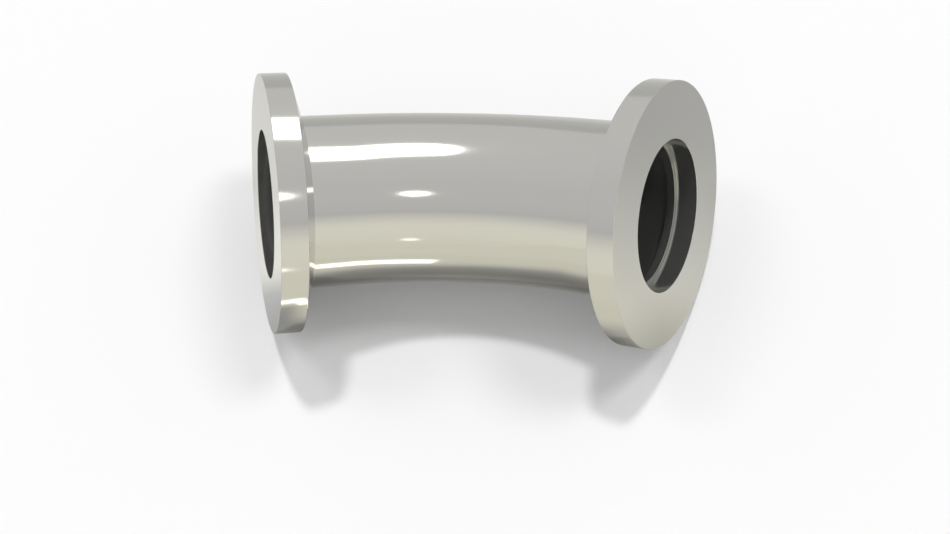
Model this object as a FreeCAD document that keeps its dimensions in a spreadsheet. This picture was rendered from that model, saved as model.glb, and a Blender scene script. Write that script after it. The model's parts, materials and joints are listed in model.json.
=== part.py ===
import FreeCAD
import Part
import Sketcher
import math
import os

# Forty-five degree vacuum elbow: a bent tube with a small clamp flange on each end.
# Lengths are in millimetres and angles in degrees.
#
# The elbow lies as it comes to rest on a level surface: on the back edges of both rims
# and on the belly of the bend, with the outer side of the bend turned down.
# X runs from the left flange to the right one, Z is up, and the surface is at z = 0.
# The origin is at the bottom centre of the elbow's bounding box.
#
# The bend frame, used below, has its origin halfway between the two sealing faces,
# X towards the right flange, Y towards the outer side of the bend and Z across it.

# Driving dimensions: name, value, meaning.
SIZES = [
    ("centre_to_face", "25", "from the crossing of the port axes to each sealing face"),
    ("bend_angle", "45", "turn from one port axis to the other"),
    ("bend_radius", "38", "radius of the tube's centre line in the bend"),
    ("tube_outer", "20", "outside diameter of the tube"),
    ("tube_wall", "1.5", "wall thickness of the tube"),
    ("rim_diameter", "30", "outside diameter of the flange"),
    ("rim_width", "3", "cylindrical rim, from the sealing face back"),
    ("shoulder_angle", "15", "slope of the clamp shoulder behind the rim"),
    ("recess_diameter", "17.2", "recess in the sealing face for a centring ring"),
    ("recess_depth", "2.5", "depth of that recess"),
    ("lip_bore", "16", "opening of the lip at the bottom of the recess"),
    ("lip_thickness", "1", "lip between the recess and the end of the tube"),
]

# Values that follow from the driving dimensions: name, kind of property, expression.
# axis_slope is the sine of the angle between a port axis and the bend frame's X.
# In the rest pose the bend frame is tilted about X, so that its Y points down by rest_tilt.
# tilt_sine puts the belly of the bend on the level of the rims' back edges.
# Where the belly is too shallow to reach it, the elbow hangs between its rims at 90 degrees.
LAYOUT = [
    ("half_turn", "App::PropertyFloat", "sizes.bend_angle / 2"),
    ("axis_slope", "App::PropertyFloat", "sin(half_turn)"),
    ("half_chord", "App::PropertyFloat", "sizes.centre_to_face * cos(half_turn)"),
    ("rim_radius", "App::PropertyFloat", "sizes.rim_diameter / 2"),
    ("tube_radius", "App::PropertyFloat", "sizes.tube_outer / 2"),
    ("shoulder_end", "App::PropertyFloat",
     "sizes.rim_width + (rim_radius - tube_radius) * tan(sizes.shoulder_angle)"),
    ("socket_floor", "App::PropertyFloat", "sizes.recess_depth + sizes.lip_thickness"),
    ("straight_length", "App::PropertyFloat",
     "sizes.centre_to_face - sizes.bend_radius * tan(half_turn) - socket_floor"),
    ("belly_offset", "App::PropertyFloat",
     "sizes.centre_to_face * axis_slope - sizes.bend_radius * (1 / cos(half_turn) - 1)"),
    ("belly_lead", "App::PropertyFloat", "belly_offset - sizes.rim_width * axis_slope"),
    ("reach_square", "App::PropertyFloat", "belly_lead ^ 2 + (rim_radius * axis_slope) ^ 2"),
    ("tilt_sine", "App::PropertyFloat",
     "min(1; (sqrt((belly_lead * tube_radius) ^ 2 + reach_square * (rim_radius ^ 2 - tube_radius ^ 2))"
     " - belly_lead * tube_radius) / reach_square)"),
    ("rest_tilt", "App::PropertyFloat", "asin(tilt_sine)"),
    ("rest_height", "App::PropertyFloat",
     "sizes.rim_width * axis_slope * tilt_sine + rim_radius * sqrt(1 - (axis_slope * tilt_sine) ^ 2)"),
    ("rest_shift", "App::PropertyFloat", "sizes.rim_width * axis_slope * cos(rest_tilt) / 2"),
    ("bend_frame", "App::PropertyPlacement",
     "placement(vector(0; -rest_shift; rest_height); rotation(vector(1; 0; 0); -rest_tilt))"),
    ("left_port", "App::PropertyPlacement",
     "bend_frame * placement(vector(-half_chord; 0; 0); rotation(vector(0; 0; 1); half_turn))"),
    ("right_port", "App::PropertyPlacement",
     "bend_frame * placement(vector(half_chord; 0; 0); rotation(vector(0; 0; 1); 180 - half_turn))"),
    ("tube_start", "App::PropertyPlacement",
     "left_port * placement(vector(socket_floor; 0; 0); rotation(vector(0; 0; 1); 0))"),
]


def add_sizes(doc):
    sheet = doc.addObject("Spreadsheet::Sheet", "sizes")
    for row, (name, value, meaning) in enumerate(SIZES, start=1):
        sheet.set(f"A{row}", name)
        sheet.set(f"B{row}", value)
        sheet.setAlias(f"B{row}", name)
        sheet.set(f"C{row}", meaning)
    doc.recompute()
    return sheet


def add_layout(doc):
    layout = doc.addObject("App::VarSet", "layout")
    for name, kind, expression in LAYOUT:
        layout.addProperty(kind, name, "Layout")
        layout.setExpression(name, expression)
    doc.recompute()
    return layout


def new_body(doc, name):
    body = doc.addObject("PartDesign::Body", name)
    body.Label = name
    return body


def new_sketch(body, name, plane_role):
    planes = [feature for feature in body.Origin.OriginFeatures if feature.Role == plane_role]
    sketch = body.newObject("Sketcher::SketchObject", name)
    sketch.AttachmentSupport = [(planes[0], "")]
    sketch.MapMode = "FlatFace"
    return sketch


def dimension(sketch, name, expression, *constraint):
    """Adds a dimension to a sketch and binds it to an expression of the sheet or the layout."""
    index = sketch.addConstraint(Sketcher.Constraint(*constraint))
    sketch.renameConstraint(index, name)
    sketch.setExpression(f"Constraints.{name}", expression)


# Numbers that a sketch gives to the start, end and centre of an edge, and to its own origin.
START, END, CENTRE = range(1, 4)
ORIGIN = (-1, START)


def draw_flange_outline(body, name, sizes, layout):
    """Half section of a flange: x runs from the sealing face inwards, y is the radius."""
    rim = layout.rim_radius
    tube = layout.tube_radius
    recess = sizes.recess_diameter / 2
    lip = sizes.lip_bore / 2
    corners = [
        (0, recess),
        (0, rim),
        (sizes.rim_width, rim),
        (layout.shoulder_end, tube),
        (layout.socket_floor, tube),
        (layout.socket_floor, lip),
        (sizes.recess_depth, lip),
        (sizes.recess_depth, recess),
    ]
    face, rim_wall, shoulder, socket_wall, socket_floor, lip_wall, recess_floor, recess_wall = range(8)

    sketch = new_sketch(body, name, "XY_Plane")
    for first, second in zip(corners, corners[1:] + corners[:1]):
        start = FreeCAD.Vector(*first, 0)
        end = FreeCAD.Vector(*second, 0)
        sketch.addGeometry(Part.LineSegment(start, end), False)
    for line in range(len(corners)):
        following = (line + 1) % len(corners)
        sketch.addConstraint(Sketcher.Constraint("Coincident", line, END, following, START))
    for line in (face, socket_floor, recess_floor):
        sketch.addConstraint(Sketcher.Constraint("Vertical", line))
    for line in (rim_wall, socket_wall, lip_wall, recess_wall):
        sketch.addConstraint(Sketcher.Constraint("Horizontal", line))
    sketch.addConstraint(Sketcher.Constraint("Vertical", *ORIGIN, face, START))

    dimension(sketch, "rim_radius", "layout.rim_radius",
              "DistanceY", *ORIGIN, face, END, rim)
    dimension(sketch, "recess_radius", "sizes.recess_diameter / 2",
              "DistanceY", *ORIGIN, face, START, recess)
    dimension(sketch, "socket_radius", "layout.tube_radius",
              "DistanceY", *ORIGIN, socket_wall, START, tube)
    dimension(sketch, "lip_radius", "sizes.lip_bore / 2",
              "DistanceY", *ORIGIN, lip_wall, START, lip)
    dimension(sketch, "rim_width", "sizes.rim_width",
              "DistanceX", rim_wall, START, rim_wall, END, sizes.rim_width)
    dimension(sketch, "shoulder_end", "layout.shoulder_end",
              "DistanceX", *ORIGIN, shoulder, END, layout.shoulder_end)
    dimension(sketch, "recess_depth", "sizes.recess_depth",
              "DistanceX", *ORIGIN, recess_floor, START, sizes.recess_depth)
    dimension(sketch, "lip_thickness", "sizes.lip_thickness",
              "DistanceX", lip_wall, END, lip_wall, START, sizes.lip_thickness)
    return sketch


def make_flange(doc, name, port, sizes, layout):
    """Turned flange: sealing face, rim, clamp shoulder, recess, lip and socket for the tube."""
    body = new_body(doc, name)
    outline = draw_flange_outline(body, f"{name}_outline", sizes, layout)
    turned = body.newObject("PartDesign::Revolution", f"{name}_turned")
    turned.Profile = outline
    turned.ReferenceAxis = (outline, ["H_Axis"])
    turned.Angle = 360
    body.Tip = turned
    body.setExpression("Placement", f"layout.{port}")
    return body


def draw_tube_path(body, name, sizes, layout):
    """Centre line of the tube: a straight stretch, the bend and a second straight stretch."""
    straight = layout.straight_length
    radius = sizes.bend_radius
    along = FreeCAD.Vector(1, 0, 0)
    turn = FreeCAD.Rotation(FreeCAD.Vector(0, 0, 1), -sizes.bend_angle)
    half_turn = FreeCAD.Rotation(FreeCAD.Vector(0, 0, 1), -sizes.bend_angle / 2)
    to_arc = FreeCAD.Vector(0, radius, 0)
    bend_start = along * straight
    centre = bend_start - to_arc
    bend_middle = centre + half_turn.multVec(to_arc)
    bend_end = centre + turn.multVec(to_arc)
    far_end = bend_end + turn.multVec(along * straight)

    sketch = new_sketch(body, name, "XY_Plane")
    first = sketch.addGeometry(Part.LineSegment(FreeCAD.Vector(0, 0, 0), bend_start), False)
    arc = sketch.addGeometry(Part.Arc(bend_start, bend_middle, bend_end), False)
    last = sketch.addGeometry(Part.LineSegment(bend_end, far_end), False)
    # An arc runs anticlockwise in the sketcher, so its end meets the first straight stretch.
    sketch.addConstraint(Sketcher.Constraint("Coincident", first, START, *ORIGIN))
    sketch.addConstraint(Sketcher.Constraint("Horizontal", first))
    sketch.addConstraint(Sketcher.Constraint("Tangent", first, END, arc, END))
    sketch.addConstraint(Sketcher.Constraint("Tangent", arc, START, last, START))
    sketch.addConstraint(Sketcher.Constraint("Equal", first, last))
    dimension(sketch, "straight_length", "layout.straight_length",
              "DistanceX", first, START, first, END, straight)
    dimension(sketch, "bend_radius", "sizes.bend_radius", "Radius", arc, radius)
    dimension(sketch, "bend_reach", "sizes.bend_radius * sin(sizes.bend_angle)",
              "DistanceX", arc, CENTRE, arc, START, bend_end.x - centre.x)
    return sketch


def draw_tube_section(body, name, sizes, layout):
    """Ring section of the tube, at the end that seats in the left flange."""
    outer_radius = layout.tube_radius
    inner_radius = outer_radius - sizes.tube_wall
    axis = FreeCAD.Vector(0, 0, 1)
    middle = FreeCAD.Vector(0, 0, 0)
    sketch = new_sketch(body, name, "YZ_Plane")
    outer = sketch.addGeometry(Part.Circle(middle, axis, outer_radius), False)
    inner = sketch.addGeometry(Part.Circle(middle, axis, inner_radius), False)
    for circle in (outer, inner):
        sketch.addConstraint(Sketcher.Constraint("Coincident", circle, CENTRE, *ORIGIN))
    dimension(sketch, "outer_radius", "layout.tube_radius", "Radius", outer, outer_radius)
    dimension(sketch, "inner_radius", "layout.tube_radius - sizes.tube_wall",
              "Radius", inner, inner_radius)
    return sketch


def make_bent_tube(doc, name, sizes, layout):
    """Tube swept along its bent centre line, from one socket floor to the other."""
    body = new_body(doc, name)
    path = draw_tube_path(body, f"{name}_path", sizes, layout)
    section = draw_tube_section(body, f"{name}_section", sizes, layout)
    swept = body.newObject("PartDesign::AdditivePipe", f"{name}_swept")
    swept.Profile = section
    swept.Spine = path
    body.Tip = swept
    body.setExpression("Placement", "layout.tube_start")
    return body


def check_document(doc, bodies):
    for item in doc.Objects:
        if "Invalid" in item.State or "Error" in item.State:
            raise RuntimeError(f"{item.Name} failed: {item.State}")
    for body in bodies:
        if body.Shape.isNull() or not body.Shape.isValid() or len(body.Shape.Solids) != 1:
            raise RuntimeError(f"{body.Label} is not one valid solid")


def check_tube_volume(tube, sizes, layout):
    """A tube swept along lines and an arc holds its section times the length of its centre line."""
    inner_radius = layout.tube_radius - sizes.tube_wall
    section = math.pi * (layout.tube_radius ** 2 - inner_radius ** 2)
    length = 2 * layout.straight_length + sizes.bend_radius * math.radians(sizes.bend_angle)
    if not math.isclose(tube.Shape.Volume, section * length, rel_tol=1e-4):
        raise RuntimeError(f"tube volume {tube.Shape.Volume:.3f} is not {section * length:.3f}")


def write_parts(bodies):
    os.makedirs("parts", exist_ok=True)
    for body in bodies:
        body.Shape.exportStep(f"parts/{body.Label}.step")
        print(f"{body.Label}: {body.Shape.Volume:.2f} cubic millimetres")


def main():
    doc = FreeCAD.newDocument("vacuum_elbow")
    sizes = add_sizes(doc)
    layout = add_layout(doc)
    tube = make_bent_tube(doc, "bent_tube", sizes, layout)
    bodies = [
        make_flange(doc, "flange_left", "left_port", sizes, layout),
        make_flange(doc, "flange_right", "right_port", sizes, layout),
        tube,
    ]
    doc.recompute()
    check_document(doc, bodies)
    check_tube_volume(tube, sizes, layout)
    write_parts(bodies)


main()
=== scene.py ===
import json
import math

import bmesh
import bpy
from mathutils import Matrix, Vector


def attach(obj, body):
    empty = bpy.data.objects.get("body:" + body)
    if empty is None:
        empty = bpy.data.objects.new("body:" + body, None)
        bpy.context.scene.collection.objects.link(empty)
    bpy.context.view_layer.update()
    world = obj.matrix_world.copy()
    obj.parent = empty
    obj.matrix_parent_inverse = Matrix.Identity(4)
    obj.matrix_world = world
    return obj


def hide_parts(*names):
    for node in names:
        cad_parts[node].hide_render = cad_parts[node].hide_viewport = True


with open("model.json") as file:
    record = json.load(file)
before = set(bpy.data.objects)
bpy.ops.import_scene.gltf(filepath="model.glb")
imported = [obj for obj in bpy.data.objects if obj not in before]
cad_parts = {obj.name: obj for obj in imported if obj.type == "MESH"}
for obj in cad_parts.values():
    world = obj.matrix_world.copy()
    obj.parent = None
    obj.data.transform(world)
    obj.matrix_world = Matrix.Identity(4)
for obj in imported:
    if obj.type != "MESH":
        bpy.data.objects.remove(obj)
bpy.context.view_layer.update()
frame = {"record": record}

# Polished steel elbow: a bent tube seated in a turned clamp flange at each end.
# Lengths are in metres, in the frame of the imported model. The elbow lies on the floor at z = 0.

MM = 0.001
TUBE_RADIUS = 10 * MM
TUBE_WALL = 1.5 * MM
BEND_RADIUS = 38 * MM
LIP_RADIUS = 8 * MM
LIP_THICKNESS = 1 * MM
SHOULDER_SLOPE = math.radians(15)
EDGE_BREAK = 0.05 * MM
EDGE_SEGMENTS = 2

# Steps round a full ring, and along the bend.
RING_STEPS = 288
BEND_STEPS = 72
MERGE_DISTANCE = 0.001 * MM
SMOOTH_LIMIT = math.radians(10)


def mount(name):
    """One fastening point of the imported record."""
    return next(entry for entry in frame["record"]["mounts"] if entry["name"] == name)


RIM_RADIUS = mount("left_rim")["dims"]["r_mm"] * MM
RIM_WIDTH = mount("left_rim")["dims"]["length_mm"] * MM
RECESS_RADIUS = mount("left_recess")["dims"]["r_mm"] * MM
RECESS_DEPTH = mount("left_recess")["dims"]["length_mm"] * MM
SOCKET_FLOOR = RECESS_DEPTH + LIP_THICKNESS
SHOULDER_END = RIM_WIDTH + (RIM_RADIUS - TUBE_RADIUS) * math.tan(SHOULDER_SLOPE)


def port(side):
    """Centre of one sealing face, and the direction into the fitting along the port's axis."""
    recess = mount(f"{side}_recess")
    outward = Vector(recess["axis"]).normalized()
    centre = Vector(recess["pos_m"]) + outward * RECESS_DEPTH / 2
    return centre, -outward


def bend_frame():
    """Place of the bend: X to the right flange, Y to the outer side of the bend, Z across it."""
    left, left_inward = port("left")
    right, right_inward = port("right")
    across_x = (right - left).normalized()
    outer_y = (left_inward + right_inward).normalized()
    normal_z = across_x.cross(outer_y)
    matrix = Matrix((across_x, outer_y, normal_z)).transposed().to_4x4()
    matrix.translation = (left + right) / 2
    return matrix


BEND = bend_frame()
ALONG_ELBOW = BEND.to_3x3() @ Vector((1, 0, 0))
ABOVE_BEND = BEND.to_3x3() @ Vector((0, 0, 1))


def in_metres(place):
    """A point given in millimetres."""
    return Vector(place) * MM


# Shader nodes

def new_material(name):
    material = bpy.data.materials.new(name)
    material.use_nodes = True
    return material, material.node_tree.nodes, material.node_tree.links


def noise(nodes, links, scale, detail):
    """Noise on an object's own coordinates. Scale is in waves for each metre."""
    place = nodes.new("ShaderNodeTexCoord")
    texture = nodes.new("ShaderNodeTexNoise")
    texture.inputs["Scale"].default_value = scale
    texture.inputs["Detail"].default_value = detail
    links.new(place.outputs["Object"], texture.inputs["Vector"])
    return texture.outputs["Fac"]


def reach_along(nodes, links, place, axis):
    """How far a place lies along an axis."""
    product = nodes.new("ShaderNodeVectorMath")
    product.operation = "DOT_PRODUCT"
    product.inputs[1].default_value = axis
    links.new(place, product.inputs[0])
    return product.outputs["Value"]


def share_between(nodes, links, value, start, end):
    """0 up to the start, 1 from the end on, and even between them."""
    scaled = nodes.new("ShaderNodeMapRange")
    scaled.inputs["From Min"].default_value = start
    scaled.inputs["From Max"].default_value = end
    links.new(value, scaled.inputs["Value"])
    return scaled.outputs["Result"]


def colour_ramp(nodes, links, share, stops):
    """A colour that follows a share from 0 to 1 through (share, colour) stops."""
    ramp = nodes.new("ShaderNodeValToRGB")
    elements = ramp.color_ramp.elements
    while len(elements) < len(stops):
        elements.new(0.5)
    for element, (position, colour) in zip(elements, stops):
        element.position = position
        element.color = (*colour, 1)
    links.new(share, ramp.inputs["Fac"])
    return ramp.outputs["Color"]


def mix_colours(nodes, links, share, first, second):
    """The first colour where the share is 0, and the second where it is 1."""
    mix = nodes.new("ShaderNodeMix")
    mix.data_type = "RGBA"
    links.new(share, mix.inputs["Factor"])
    links.new(first, mix.inputs["A"])
    links.new(second, mix.inputs["B"])
    return mix.outputs["Result"]


def mix_shaders(nodes, links, share, first, second):
    """The first shader where the share is 0, and the second where it is 1 or more."""
    mix = nodes.new("ShaderNodeMixShader")
    links.new(share, mix.inputs["Fac"])
    links.new(first, mix.inputs[1])
    links.new(second, mix.inputs[2])
    return mix.outputs["Shader"]


# Steel

CLOUD_SCALE = 90
CLOUD_DETAIL = 2
GRAIN_SCALE = 2500
GRAIN_DETAIL = 3


def steel(name, dark, light, smoothest, roughest, metallic):
    """Stainless steel: a faint cloud of tone between two colours, and a fine grain in its roughness."""
    material, nodes, links = new_material(name)
    shader = nodes["Principled BSDF"]
    shader.inputs["Metallic"].default_value = metallic

    tint = nodes.new("ShaderNodeMix")
    tint.data_type = "RGBA"
    tint.inputs["A"].default_value = (*dark, 1)
    tint.inputs["B"].default_value = (*light, 1)
    links.new(noise(nodes, links, CLOUD_SCALE, CLOUD_DETAIL), tint.inputs["Factor"])
    links.new(tint.outputs["Result"], shader.inputs["Base Color"])

    gloss = nodes.new("ShaderNodeMapRange")
    gloss.inputs["To Min"].default_value = smoothest
    gloss.inputs["To Max"].default_value = roughest
    links.new(noise(nodes, links, GRAIN_SCALE, GRAIN_DETAIL), gloss.inputs["Value"])
    links.new(gloss.outputs["Result"], shader.inputs["Roughness"])
    return material


POLISHED = steel(
    "polished_steel",
    dark=(0.595, 0.592, 0.582),
    light=(0.610, 0.607, 0.597),
    smoothest=0.085,
    roughest=0.115,
    metallic=1,
)
BORED = steel(
    "bored_steel",
    dark=(0.43, 0.43, 0.415),
    light=(0.46, 0.46, 0.445),
    smoothest=0.09,
    roughest=0.13,
    metallic=0.885,
)

# Place of the bored steel in each mesh's list of materials, after the polished steel.
BORED_SLOT = 1


# Meshes

def begin_ring(name, radius, location=(0, 0, 0), rotation=(0, 0, 0)):
    """A circle of vertices, left in edit mode with all of it selected."""
    bpy.ops.object.select_all(action="DESELECT")
    bpy.ops.mesh.primitive_circle_add(
        vertices=RING_STEPS, radius=radius, fill_type="NOTHING", location=location, rotation=rotation)
    piece = bpy.context.object
    piece.name = name
    piece.data.name = name
    bpy.ops.object.transform_apply(location=True, rotation=True, scale=True)
    piece.data.materials.append(POLISHED)
    piece.data.materials.append(BORED)
    bpy.ops.object.mode_set(mode="EDIT")
    bpy.ops.mesh.select_mode(type="VERT")
    bpy.ops.mesh.select_all(action="SELECT")
    return piece


def turn_profile(corners):
    """Takes the selected ring from corner to corner of a profile of (depth, radius) pairs."""
    for (depth, radius), (next_depth, next_radius) in zip(corners, corners[1:]):
        bpy.ops.mesh.extrude_region_move(
            TRANSFORM_OT_translate={"value": (0, 0, next_depth - depth)})
        growth = next_radius / radius
        bpy.ops.transform.resize(value=(growth, growth, 1), center_override=(0, 0, next_depth))


def close_mesh():
    """Joins what meets and points every face outwards."""
    bpy.ops.mesh.select_all(action="SELECT")
    bpy.ops.mesh.remove_doubles(threshold=MERGE_DISTANCE)
    bpy.ops.mesh.normals_make_consistent(inside=False)


def lies_on(edge, depth, radius):
    """Whether both ends of an edge lie on one ring round the local Z axis."""
    return all(
        abs(vertex.co.z - depth) <= MERGE_DISTANCE
        and abs(vertex.co.xy.length - radius) <= MERGE_DISTANCE
        for vertex in edge.verts)


def select_rings(piece, rings):
    """Selects the edges that run round the local Z axis at the given (depth, radius) pairs."""
    bpy.ops.mesh.select_mode(type="EDGE")
    bpy.ops.mesh.select_all(action="DESELECT")
    mesh = bmesh.from_edit_mesh(piece.data)
    for edge in mesh.edges:
        edge.select_set(any(lies_on(edge, depth, radius) for depth, radius in rings))
    bmesh.update_edit_mesh(piece.data)


def finish_bore(piece):
    """Gives everything inside the mouth of the recess the duller finish of the bore."""
    bpy.ops.mesh.select_mode(type="FACE")
    bpy.ops.mesh.select_all(action="DESELECT")
    mesh = bmesh.from_edit_mesh(piece.data)
    for face in mesh.faces:
        centre = face.calc_center_median()
        face.select_set(centre.z > EDGE_BREAK and centre.xy.length < RECESS_RADIUS)
    bmesh.update_edit_mesh(piece.data)
    piece.active_material_index = BORED_SLOT
    bpy.ops.object.material_slot_assign()


def finish_piece(piece, node, place):
    """Shades the piece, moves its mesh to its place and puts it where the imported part's node is."""
    bpy.ops.object.mode_set(mode="OBJECT")
    bpy.ops.object.shade_smooth_by_angle(angle=SMOOTH_LIMIT)
    piece.matrix_world = place
    bpy.ops.object.transform_apply(location=True, rotation=True, scale=True)
    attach(piece, "root")
    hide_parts(node)


def make_flange(side):
    """Turned flange: sealing face, rim, clamp shoulder, socket for the tube, lip and recess."""
    corners = [
        (0, RECESS_RADIUS),
        (0, RIM_RADIUS),
        (RIM_WIDTH, RIM_RADIUS),
        (SHOULDER_END, TUBE_RADIUS),
        (SOCKET_FLOOR, TUBE_RADIUS),
        (SOCKET_FLOOR, LIP_RADIUS),
        (RECESS_DEPTH, LIP_RADIUS),
        (RECESS_DEPTH, RECESS_RADIUS),
        (0, RECESS_RADIUS),
    ]
    kept_sharp = [
        (SHOULDER_END, TUBE_RADIUS),
        (SOCKET_FLOOR, TUBE_RADIUS),
        (SOCKET_FLOOR, LIP_RADIUS),
    ]
    piece = begin_ring(f"{side}_flange_ring", RECESS_RADIUS)
    turn_profile(corners)
    close_mesh()
    select_rings(piece, [corner for corner in corners if corner not in kept_sharp])
    bpy.ops.mesh.bevel(offset=EDGE_BREAK, segments=EDGE_SEGMENTS, affect="EDGES")
    finish_bore(piece)
    centre, inward = port(side)
    place = inward.to_track_quat("Z", "Y").to_matrix().to_4x4()
    place.translation = centre
    finish_piece(piece, f"flange_{side}", place)


def thicken_tube(piece):
    """Gives the tube its wall, inwards from its outer face, and its inside the finish of the bore."""
    bpy.ops.object.mode_set(mode="OBJECT")
    wall = piece.modifiers.new("wall", "SOLIDIFY")
    wall.thickness = TUBE_WALL
    wall.offset = -1
    wall.material_offset = BORED_SLOT
    wall.material_offset_rim = BORED_SLOT
    bpy.ops.object.modifier_apply(modifier=wall.name)
    bpy.ops.object.mode_set(mode="EDIT")


def make_tube():
    """Tube from one socket floor to the other: a straight stretch, the bend and a straight stretch."""
    to_flat = BEND.inverted()
    left, left_inward = port("left")
    start = to_flat @ (left + left_inward * SOCKET_FLOOR)
    inward = to_flat.to_3x3() @ left_inward
    half_turn = math.atan2(inward.y, inward.x)
    centre_to_face = -(to_flat @ left).x / math.cos(half_turn)
    straight = centre_to_face - BEND_RADIUS * math.tan(half_turn) - SOCKET_FLOOR
    across = Vector((-inward.y, inward.x, 0))
    bend_centre = start + inward * straight - across * BEND_RADIUS
    outward = Vector((inward.x, -inward.y, 0))

    facing_inward = (math.pi / 2, 0, math.pi / 2 + half_turn)
    piece = begin_ring("elbow_tube", TUBE_RADIUS, location=start, rotation=facing_inward)
    bpy.ops.mesh.extrude_region_move(TRANSFORM_OT_translate={"value": inward * straight})
    bpy.ops.mesh.spin(steps=BEND_STEPS, angle=2 * half_turn, center=bend_centre, axis=(0, 0, 1))
    bpy.ops.mesh.extrude_region_move(TRANSFORM_OT_translate={"value": outward * straight})
    close_mesh()
    thicken_tube(piece)
    finish_piece(piece, "bent_tube", BEND)


# Surroundings

# Levels of the plain surroundings that light the floor, and of the background.
AMBIENT = 0.54
WHITE = 1

# What the steel mirrors: degrees above the plane of the bend, and colour.
SKY = [
    (-60, (0.92, 0.90, 0.75)),
    (-51, (0.96, 0.94, 0.80)),
    (-42, (1.00, 0.97, 0.83)),
    (-34, (1.02, 1.00, 0.86)),
    (-25, (1.02, 1.00, 0.86)),
    (-20, (0.985, 0.965, 0.84)),
    (-15, (0.90, 0.88, 0.79)),
    (-10.5, (0.80, 0.79, 0.73)),
    (-7, (0.705, 0.70, 0.665)),
    (-5.3, (0.675, 0.675, 0.65)),
    (-2, (0.71, 0.705, 0.69)),
    (10, (0.73, 0.725, 0.705)),
    (30, (0.74, 0.735, 0.715)),
    (60, (0.78, 0.775, 0.75)),
    (90, (0.80, 0.795, 0.765)),
]


def plain_background(nodes, level):
    """The same neutral level from all sides."""
    background = nodes.new("ShaderNodeBackground")
    background.inputs["Color"].default_value = (level, level, level, 1)
    return background.outputs["Background"]


def studio_background(nodes, links):
    """Grey above the plane of the bend, and warm below it."""
    direction = nodes.new("ShaderNodeTexCoord")
    height = reach_along(nodes, links, direction.outputs["Generated"], ABOVE_BEND)
    share = share_between(nodes, links, height, -1, 1)
    stops = [((math.sin(math.radians(degrees)) + 1) / 2, colour) for degrees, colour in SKY]
    background = nodes.new("ShaderNodeBackground")
    links.new(colour_ramp(nodes, links, share, stops), background.inputs["Color"])
    return background.outputs["Background"]


def make_world():
    """The studio where the steel mirrors it, a plain level for the floor's light, and white behind.

    Light that the steel throws on to the floor is plain as well, so that the shadow stays neutral.
    """
    world = bpy.data.worlds.new("studio")
    world.use_nodes = True
    bpy.context.scene.world = world
    nodes = world.node_tree.nodes
    links = world.node_tree.links
    nodes.clear()
    studio = studio_background(nodes, links)
    ambient = plain_background(nodes, AMBIENT)
    white = plain_background(nodes, WHITE)
    rays = nodes.new("ShaderNodeLightPath").outputs
    mirrored = mix_shaders(nodes, links, rays["Diffuse Depth"], studio, ambient)
    unseen = mix_shaders(nodes, links, rays["Is Glossy Ray"], ambient, mirrored)
    surface = mix_shaders(nodes, links, rays["Is Camera Ray"], unseen, white)
    output = nodes.new("ShaderNodeOutputWorld")
    links.new(surface, output.inputs["Surface"])


# Floor

FLOOR_SIZE = 6
FLOOR_LEVEL = 0.91

# Painted reflections on the floor, which only the steel mirrors: a painted studio tone, lighter in front,
# with a painted shadow pool just in front of the elbow. Columns: millimetres behind the elbow
# (in front is negative), level, and blue against red.
MIDDLE_PAINTED_REFLECTION = [
    (-60, 0.84, 0.81),
    (-30, 0.83, 0.81),
    (-25, 0.71, 0.86),
    (-22.5, 0.53, 0.88),
    (-20, 0.38, 0.91),
    (-15, 0.31, 0.91),
    (-12, 0.33, 0.91),
    (-10, 0.55, 0.93),
    (-8, 0.75, 0.94),
    (-6, 0.95, 0.94),
    (-4, 1.00, 0.94),
    (2, 0.72, 0.93),
    (25, 0.70, 0.94),
    (35, 0.67, 0.95),
    (45, 0.60, 0.95),
    (80, 0.57, 0.95),
    (150, 0.56, 0.95),
    (250, 0.59, 0.96),
    (400, 0.70, 0.96),
]
LEFT_PAINTED_REFLECTION = [
    (-60, 0.865, 0.82),
    (-41, 0.86, 0.83),
    (-37, 0.45, 0.92),
    (-22, 0.37, 0.95),
    (-15, 0.37, 0.96),
    (-11, 0.53, 0.98),
    (-8, 0.61, 0.98),
    (-6.5, 0.66, 0.98),
    (-5.2, 0.78, 0.97),
    (-4, 1.03, 0.93),
    (-2, 1.10, 0.92),
    (1, 1.06, 0.93),
    (5.5, 0.95, 0.94),
    (8.5, 0.83, 0.95),
    (12, 0.74, 0.95),
    (25, 0.70, 0.95),
    (45, 0.60, 0.96),
    (400, 0.65, 0.96),
]
NEAR_RIGHT_PAINTED_REFLECTION = [
    (-60, 0.87, 0.82),
    (-32, 0.87, 0.82),
    (-26, 0.58, 0.88),
    (-20, 0.55, 0.89),
    (-14, 0.55, 0.88),
    (-11, 0.64, 0.86),
    (-9, 0.71, 0.86),
    (-7, 0.80, 0.87),
    (-5, 0.87, 0.88),
    (-3, 0.89, 0.90),
    (0, 0.85, 0.91),
    (5, 0.74, 0.93),
    (10, 0.62, 0.94),
    (16, 0.54, 0.96),
    (35, 0.52, 0.96),
    (150, 0.575, 0.96),
    (400, 0.65, 0.96),
]
FAR_RIGHT_PAINTED_REFLECTION = [
    (-60, 0.87, 0.82),
    (-32, 0.87, 0.82),
    (-26, 0.60, 0.88),
    (-14, 0.60, 0.88),
    (-11, 0.80, 0.86),
    (-9, 0.85, 0.86),
    (-7, 0.84, 0.87),
    (-5, 0.80, 0.88),
    (-3, 0.775, 0.90),
    (0, 0.725, 0.91),
    (5, 0.645, 0.93),
    (10, 0.58, 0.94),
    (16, 0.525, 0.96),
    (35, 0.52, 0.96),
    (150, 0.575, 0.96),
    (400, 0.65, 0.96),
]

# Beside the elbow: the painted reflection tables, their side (1 is right), the share of the way behind
# that is taken off the way out, and the millimetres out where they begin and where they have taken over.
SIDES = [
    (LEFT_PAINTED_REFLECTION, -1, 0.35, 25, 28),
    (NEAR_RIGHT_PAINTED_REFLECTION, 1, 0.45, 21.5, 27),
    (FAR_RIGHT_PAINTED_REFLECTION, 1, 0.45, 34.5, 41),
]

# Green falls with blue, by this part of the way.
GREEN_PART = 1 / 8


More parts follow.
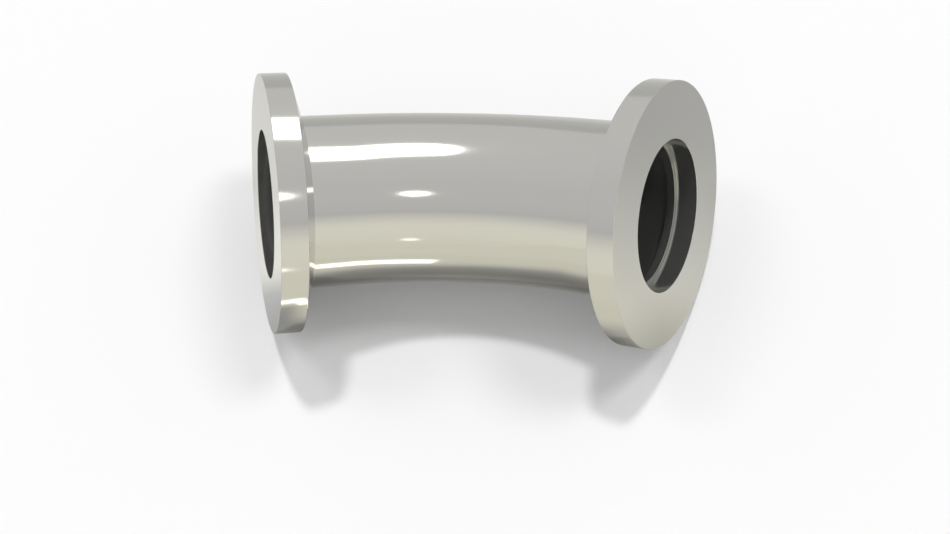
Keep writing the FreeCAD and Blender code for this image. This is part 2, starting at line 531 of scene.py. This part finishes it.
def painted_reflection_ramp(nodes, links, behind, tones):
    """Painted reflection by the way behind the elbow, from (millimetres, level, blue against red)."""
    first = tones[0][0]
    last = tones[-1][0]
    share = share_between(nodes, links, behind, first * MM, last * MM)
    stops = []
    for distance, level, blue in tones:
        green = 1 - (1 - blue) * GREEN_PART
        stops.append(((distance - first) / (last - first), (level, level * green, level * blue)))
    return colour_ramp(nodes, links, share, stops)


def painted_reflection_and_shade(nodes, links):
    """Painted reflection and shade where the steel mirrors the floor: middle tones, and the sides' over
    them.
    """
    place = nodes.new("ShaderNodeTexCoord").outputs["Object"]
    behind = reach_along(nodes, links, place, (0, 1, 0))
    tone = painted_reflection_ramp(nodes, links, behind, MIDDLE_PAINTED_REFLECTION)
    for tones, side, lean, start, full in SIDES:
        out = reach_along(nodes, links, place, (side, -lean, 0))
        share = share_between(nodes, links, out, start * MM, full * MM)
        tone = mix_colours(nodes, links, share, tone, painted_reflection_ramp(nodes, links, behind, tones))
    return tone


def floor_paint():
    """Pale floor, with painted reflection and painted shade only where the steel mirrors it.

    Light that the steel throws from floor to floor is plain, so that the shadow stays neutral.
    """
    material, nodes, links = new_material("pale_floor_painted_reflection")
    nodes.remove(nodes["Principled BSDF"])
    pale = nodes.new("ShaderNodeBsdfDiffuse")
    pale.inputs["Color"].default_value = (FLOOR_LEVEL, FLOOR_LEVEL, FLOOR_LEVEL, 1)
    # Painted reflection and painted shade: the floor's colour for rays that come from the steel.
    painted_reflection_shader = nodes.new("ShaderNodeBsdfDiffuse")
    links.new(painted_reflection_and_shade(nodes, links), painted_reflection_shader.inputs["Color"])
    rays = nodes.new("ShaderNodeLightPath").outputs
    mirrored = mix_shaders(
        nodes, links, rays["Diffuse Depth"], painted_reflection_shader.outputs["BSDF"], pale.outputs["BSDF"])
    surface = mix_shaders(nodes, links, rays["Is Glossy Ray"], pale.outputs["BSDF"], mirrored)
    links.new(surface, nodes["Material Output"].inputs["Surface"])
    return material


def make_floor():
    """One wide sheet under the elbow."""
    bpy.ops.object.select_all(action="DESELECT")
    bpy.ops.mesh.primitive_plane_add(size=FLOOR_SIZE)
    floor = bpy.context.object
    floor.name = "floor"
    floor.data.materials.append(floor_paint())


# Lights

WARM_WHITE = (1.0, 0.97, 0.84)

# In the frame of the bend: name, shape, centre, width and height, target, radiance.
LAMPS = [
    ("overhead_softbox", "RECTANGLE", (15, -28.5, 150), (44, 53), (15, -28.5, 0), 3.0),
    ("overhead_softbox_end", "ELLIPSE", (-7, -28.5, 150), (28, 52), (-7, -28.5, 0), 3.0),
    ("front_spot", "ELLIPSE", (3.55, -55, 19), (8, 6.8), (3.55, 0, 5), 3.0),
    ("side_spot", "ELLIPSE", (37.5, -55, 38), (9, 9), (-15, -7, 3), 2.2),
    ("low_spot", "ELLIPSE", (4.5, -52, -52), (5, 4), (-6, 0, 0), 1.4),
]

# Under the elbow, from the floor: name, centre, width and height, target, radiance, direction of width.
CARDS = [
    ("tube_streak", (-8.7, -19.6, 7.6), (10.3, 2.3), (-8.5, -7.4, 14.8), 1.7, (1, 0.13, -0.25)),
    ("rim_streak", (-14.4, -28.6, 10.0), (3.6, 1.7), (-18.4, -8.2, 21.0), 1.6, (1, 0.25, 0)),
    ("rim_streak_end", (-13.7, -27.7, 8.5), (1.7, 1.7), (-17.7, -7.3, 19.5), 1.2, (1, 0.25, 0)),
]

# Name, degrees round from straight behind, degrees up, share of white on the floor, and degrees across.
SUNS = [
    ("back", 0, 71.5, 0.31, 5),
    ("left", -60, 60, 0.07, 14),
    ("right", 60, 60, 0.17, 14),
]


def add_panel(name, shape, centre, size, target, radiance, across):
    """A flat lamp, sized in millimetres, that only mirrors see. Radiance is how bright it looks there."""
    width = size[0] * MM
    height = size[1] * MM
    area = width * height
    if shape == "ELLIPSE":
        area = area * math.pi / 4
    lamp = bpy.data.lights.new(name, "AREA")
    lamp.shape = shape
    lamp.size = width
    lamp.size_y = height
    lamp.color = WARM_WHITE
    lamp.energy = radiance * math.pi * area
    panel = bpy.data.objects.new(name, lamp)
    bpy.context.scene.collection.objects.link(panel)
    back = -(target - centre).normalized()
    side = (across - back * across.dot(back)).normalized()
    turned = Matrix((side, back.cross(side), back)).transposed().to_4x4()
    turned.translation = centre
    panel.matrix_world = turned
    panel.visible_camera = False
    panel.visible_diffuse = False


def add_sun(name, azimuth, elevation, level, spread):
    """Soft light for the floor, which the steel does not mirror."""
    azimuth = math.radians(azimuth)
    elevation = math.radians(elevation)
    lamp = bpy.data.lights.new(name, "SUN")
    lamp.energy = level * math.pi / math.sin(elevation)
    lamp.angle = math.radians(spread)
    sun = bpy.data.objects.new(name, lamp)
    bpy.context.scene.collection.objects.link(sun)
    to_light = Vector((math.sin(azimuth) * math.cos(elevation),
                       math.cos(azimuth) * math.cos(elevation),
                       math.sin(elevation)))
    sun.rotation_mode = "QUATERNION"
    sun.rotation_quaternion = to_light.to_track_quat("Z", "Y")
    sun.visible_glossy = False


def make_lights():
    """The lamps and cards that the steel mirrors, and the suns that light the floor."""
    for name, shape, centre, size, target, radiance in LAMPS:
        centre = BEND @ in_metres(centre)
        target = BEND @ in_metres(target)
        add_panel(name, shape, centre, size, target, radiance, ALONG_ELBOW)
    for name, centre, size, target, radiance, across in CARDS:
        add_panel(name, "RECTANGLE", in_metres(centre), size, in_metres(target), radiance, Vector(across))
    for sun in SUNS:
        add_sun(*sun)


# Camera

LENS = 50
SENSOR = 36

# The photo's width, its middle and where the origin of the bend shows in it, in pixels.
PHOTO_WIDTH = 950
MIDDLE_X = 475
MIDDLE_Y = 267
ORIGIN_X = 463.074
ORIGIN_Y = 210.165

# The camera in the frame of the bend.
CAMERA_AZIMUTH = math.radians(7.714)
CAMERA_ELEVATION = math.radians(14.852)
CAMERA_DISTANCE = 149.521 * MM
CLIP_START = 1 * MM


def camera_place():
    """The photo's view in the frame of the bend."""
    back = Vector((math.sin(CAMERA_AZIMUTH) * math.cos(CAMERA_ELEVATION),
                   -math.cos(CAMERA_AZIMUTH) * math.cos(CAMERA_ELEVATION),
                   math.sin(CAMERA_ELEVATION)))
    right = Vector((math.cos(CAMERA_AZIMUTH), math.sin(CAMERA_AZIMUTH), 0))
    up = back.cross(right)
    focal = PHOTO_WIDTH * LENS / SENSOR
    offset_x = (ORIGIN_X - MIDDLE_X) / focal * CAMERA_DISTANCE
    offset_y = (MIDDLE_Y - ORIGIN_Y) / focal * CAMERA_DISTANCE
    view = Matrix((right, up, back)).transposed().to_4x4()
    view.translation = back * CAMERA_DISTANCE - right * offset_x - up * offset_y
    return view


def make_camera():
    """The camera that the scene is seen through."""
    camera_data = bpy.data.cameras.new("camera")
    camera_data.lens = LENS
    camera_data.sensor_width = SENSOR
    camera_data.clip_start = CLIP_START
    camera = bpy.data.objects.new("camera", camera_data)
    bpy.context.scene.collection.objects.link(camera)
    camera.matrix_world = BEND @ camera_place()
    bpy.context.scene.camera = camera


def main():
    bpy.context.scene.view_settings.view_transform = "Standard"
    make_flange("left")
    make_flange("right")
    make_tube()
    make_floor()
    make_world()
    make_lights()
    make_camera()


main()
